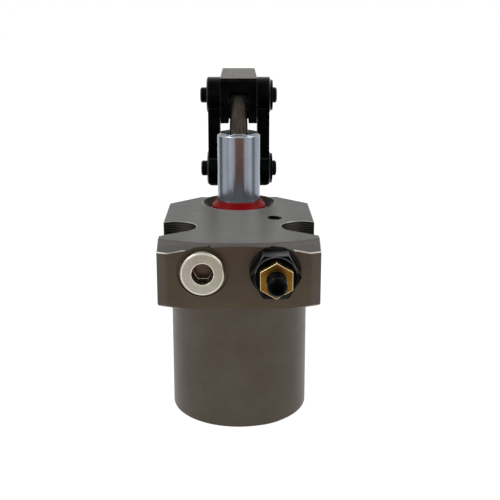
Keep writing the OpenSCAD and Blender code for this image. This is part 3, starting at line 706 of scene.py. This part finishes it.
finished_copy("valve_lock_nut", "yellow_lock_nut", edge=0.15 * mm, body="housing",
              finishes=nut_finishes, moved=full_front)


# Adjusting screw: a black M6 socket screw with a rolled thread, which goes through the lock nut. It is
# drawn out ring by ring from a circle, and the rings are then pressed into the thread's helix, which
# runs out at both ends.
screw_low, screw_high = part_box("valve_adjuster")
screw_x = (screw_low.x + screw_high.x) / 2
screw_z = (screw_low.z + screw_high.z) / 2
screw_r = (screw_high.x - screw_low.x) / 2
screw_sides = 48
tip_y = screw_low.y
tip_bevel = 0.7 * mm
thread_pitch = 1.0 * mm
thread_depth = 0.42 * mm
thread_from = tip_y + 0.9 * mm
thread_to = nut_front + 1.2 * mm
smooth_below = math.radians(35)
root_narrowness = 1.2
rings_to_a_turn = 9
ring_step = thread_pitch / rings_to_a_turn
ring_within = 0.1 * mm
needle_from = screw_high.y - 2.2 * mm
needle_share = 0.25
key_width = 3 * mm
key_depth = 3 * mm
along_y = (math.radians(90), 0, 0)
bpy.ops.object.select_all(action="DESELECT")
bpy.ops.mesh.primitive_circle_add(vertices=screw_sides, radius=screw_r, fill_type="NGON",
                                  rotation=along_y, location=(screw_x, tip_y, screw_z))
screw_piece = bpy.context.object
screw_piece.name = "threaded_adjusting_screw"
bpy.ops.object.transform_apply(location=True, rotation=True, scale=True)
ring_places = [tip_y + tip_bevel]
ring_y = thread_from
while ring_y < thread_to:
    ring_places.append(ring_y)
    ring_y += ring_step
ring_places += [thread_to, needle_from, screw_high.y]
bpy.ops.object.mode_set(mode="EDIT")
bpy.ops.mesh.select_all(action="SELECT")
last_y = tip_y
for ring_y in ring_places:
    bpy.ops.mesh.extrude_region_move(TRANSFORM_OT_translate={"value": (0, ring_y - last_y, 0)})
    last_y = ring_y
bpy.ops.object.mode_set(mode="OBJECT")
for point in screw_piece.data.vertices:
    across_x = point.co.x - screw_x
    across_z = point.co.z - screw_z
    along = point.co.y
    share = 1
    if along < tip_y + tip_bevel / 2:
        share = 1 - tip_bevel / screw_r
    elif along > screw_high.y - ring_within:
        share = needle_share
    elif thread_from <= along < thread_to:
        turn = math.atan2(across_z, across_x) / math.tau
        from_start = (along - thread_from) / thread_pitch
        to_end = (thread_to - along) / thread_pitch
        crest_to_crest = (from_start - turn) % 1
        groove = (1 - abs(2 * crest_to_crest - 1)) ** root_narrowness
        share = 1 - thread_depth / screw_r * min(1, from_start, to_end) * groove
    point.co.x = screw_x + across_x * share
    point.co.z = screw_z + across_z * share
select_only(screw_piece)
bpy.ops.object.mode_set(mode="EDIT")
bpy.ops.mesh.select_all(action="SELECT")
bpy.ops.mesh.normals_make_consistent(inside=False)
bpy.ops.object.mode_set(mode="OBJECT")
bpy.ops.mesh.primitive_cylinder_add(vertices=6, radius=key_width / math.sqrt(3), depth=2 * key_depth,
                                    rotation=along_y, location=(screw_x, tip_y, screw_z))
key_shape = bpy.context.object
select_only(screw_piece)
key_socket = screw_piece.modifiers.new("key_socket", "BOOLEAN")
key_socket.operation = "DIFFERENCE"
key_socket.object = key_shape
bpy.ops.object.modifier_apply(modifier=key_socket.name)
bpy.data.objects.remove(key_shape)
bpy.ops.object.shade_smooth_by_angle(angle=smooth_below)
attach(screw_piece, "adjuster")
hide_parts("valve_adjuster")
screw_piece.data.materials.append(oiled_black)


# Piston rod: hard-chromed and polished steel with a ground shoulder. Its flat eye is milled on both
# sides and left bare, and its upper part is darkened by painted shade, where the lever's fork shades it.
chrome, chrome_shader, chrome_place = new_finish("hard_chrome", metallic=1.0, roughness=0.18)
chrome_lines = stretched_noise(chrome, chrome_place, per_metre=(60, 60, 6000), detail=2.0)
chrome_cloud = stretched_noise(chrome, chrome_place, per_metre=(80, 80, 80))
tint(chrome, chrome_shader, chrome_cloud, dark=(0.2, 0.22, 0.26), pale=(0.25, 0.27, 0.31))
vary_roughness(chrome, chrome_shader, chrome_lines, smoothest=0.15, roughest=0.22)
scratch(chrome, chrome_shader, chrome_lines, depth=0.0006 * mm)
# The rod's broken edges are painted paler than the chrome, as painted highlights.
chrome_edge_highlight = machined_steel("chrome_edges_painted_highlight", dark=(0.36, 0.37, 0.39), pale=(0.56, 0.57, 0.59),
                               roughness=0.14, lines=(300, 300, 300), line_depth=0.0005 * mm)
eye_dark = (0.034, 0.029, 0.024)
eye_pale = (0.09, 0.079, 0.065)
eye_painted_shade = (0.003, 0.003, 0.003)
# The painted shade covers the eye's upper part: its border lies lower the farther it is from the
# middle, by the fourth power of that distance, so that the lit part ends in a tongue.
shade_from = 58.5 * mm
shade_full = 63 * mm
shade_border_power = 4
shade_border_drop = 1.7e8
milled_eye, eye_shader, eye_place = new_finish("milled_rod_eye", metallic=0.5, roughness=0.45)
eye_shader.inputs["Specular IOR Level"].default_value = 0.12
eye_streaks = stretched_noise(milled_eye, eye_place, per_metre=(1300, 1300, 260), detail=4.0)
eye_axes = coordinates_of(milled_eye, eye_place)
eye_aside = work_out(milled_eye, "ABSOLUTE", eye_axes["X"])
eye_crown = work_out(milled_eye, "POWER", eye_aside, shade_border_power)
eye_height = work_out(milled_eye, "MULTIPLY_ADD", eye_crown, shade_border_drop, eye_axes["Z"])
eye_unshaded_share = spread(milled_eye, eye_height, 1.0, 0.0, shade_from, shade_full)
eye_metal = two_colours(milled_eye, spread(milled_eye, eye_streaks, 0, 1), eye_dark, eye_pale)
eye_colour = two_colours(milled_eye, eye_unshaded_share, eye_painted_shade, eye_metal)
join(milled_eye, eye_colour, eye_shader.inputs["Base Color"])
vary_roughness(milled_eye, eye_shader, eye_streaks, smoothest=0.4, roughest=0.52)
scratch(milled_eye, eye_shader, eye_streaks, depth=0.004 * mm)
shoulder_z = 48.2 * mm
shoulder_within = 0.01 * mm
shoulder_edge_z = shoulder_z + 0.2 * mm


def inside_the_body(place):
    """The rod's edges below the block's top stay as they are."""
    return place.z < flange_top


rod_piece = finished_copy("piston_rod", "chromed_piston_rod", edge=0.12 * mm, body="rod",
                          finishes=(chrome, chrome_edge_highlight, milled_eye),
                          left_sharp=inside_the_body)
# The shoulder's top takes the eye's darker finish, as a painted dark reflection of the lever above it.
for face in rod_piece.data.polygons:
    above_shoulder = face.center.z > shoulder_z - shoulder_within
    on_the_eye = above_shoulder and face.material_index == face_finish
    if on_the_eye or face.center.z > shoulder_edge_z:
        face.material_index = third_finish


# Lever: a forged and milled fork of steel in black oxide, ground bare along its top. It turns on a
# blackened pin through the rod's eye.
lever_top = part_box("lever")[1].z
lever_top_within = 0.3 * mm
lever_top_slope = 0.3
lever_black = black_oxide("lever_black_oxide", dark=(0.0015, 0.0015, 0.0015), pale=(0.004, 0.004, 0.004),
                          roughness=0.38)
# Paler broken edges on the lever: wear and painted highlights.
lever_edge = black_oxide("lever_oxide_edges_worn_and_highlit", dark=(0.003, 0.003, 0.003), pale=(0.012, 0.012, 0.012),
                         roughness=0.34)
ground_lever = machined_steel("ground_lever_top", dark=(0.082, 0.073, 0.061), pale=(0.104, 0.095, 0.081),
                              roughness=0.42, lines=(5000, 90, 90), line_depth=0.002 * mm, metallic=0.06,
                              gloss=0.06)
lever_piece = finished_copy("lever", "black_clamping_lever", edge=0.25 * mm, body="lever",
                            finishes=(lever_black, lever_edge, ground_lever))
for face in lever_piece.data.polygons:
    if face.center.z > lever_top - lever_top_within and face.normal.z > lever_top_slope:
        face.material_index = third_finish
dress("lever_pin", spring_black)


# Links, link pins and clips: two drilled links of bar steel, turned pins with a groove near the end,
# and snap clips of spring steel in the grooves, all in oiled black oxide.
link_edge = 0.22 * mm
pin_edge = 0.1 * mm
clip_edge = 0.06 * mm
for node, edge, slot_name in (
    ("link_left", link_edge, "black_oxide"),
    ("link_right", link_edge, "black_oxide"),
    ("link_pin_upper", pin_edge, "black_oxide"),
    ("link_pin_lower", pin_edge, "black_oxide"),
    ("clip_upper", clip_edge, "spring_steel"),
    ("clip_lower", clip_edge, "spring_steel"),
):
    finished_copy(node, "black_" + node, edge=edge, body="links",
                  finishes=(oiled_black, black_edge_worn_and_highlit))
